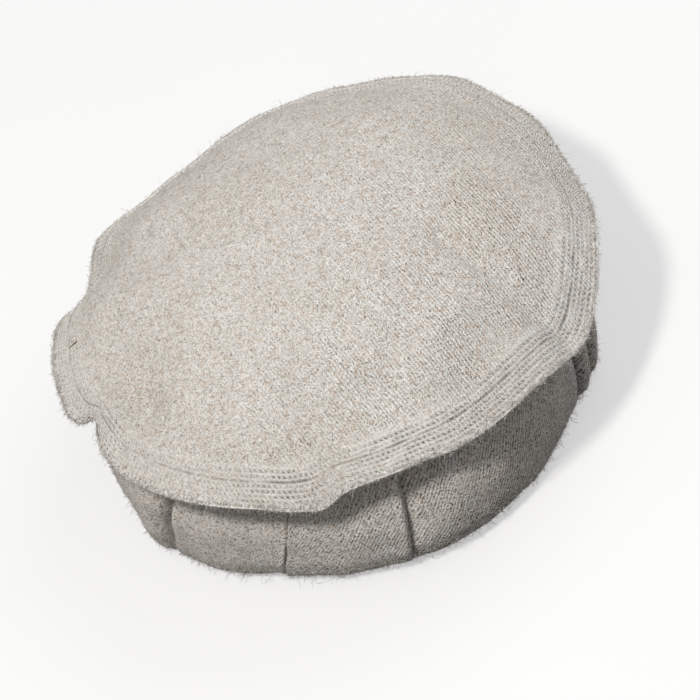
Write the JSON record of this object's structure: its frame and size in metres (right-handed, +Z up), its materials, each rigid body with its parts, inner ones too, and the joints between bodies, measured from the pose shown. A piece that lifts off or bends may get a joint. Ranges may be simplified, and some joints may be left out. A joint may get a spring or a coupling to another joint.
{
  "type": "pakol",
  "caption": "Soft round wool cap with a domed crown, a wavy stitched rim that overhangs, and a rolled band round an open head hollow.",
  "frame": {"origin": "under the crown's middle, on the plane that the rolled band rests on", "axes": "+Z up through the crown, -Y towards the wearer's face, +X towards the wearer's left"},
  "size_m": [0.2537, 0.2555, 0.098],
  "materials": {
    "crown_wool": "fulled wool twill, oatmeal melange, fuzzy",
    "band_wool": "fulled wool twill, oatmeal melange, fuzzy"
  },
  "bodies": {
    "root": {"crown": "crown_wool", "rolled_band": "band_wool"}
  },
  "joints": []
}
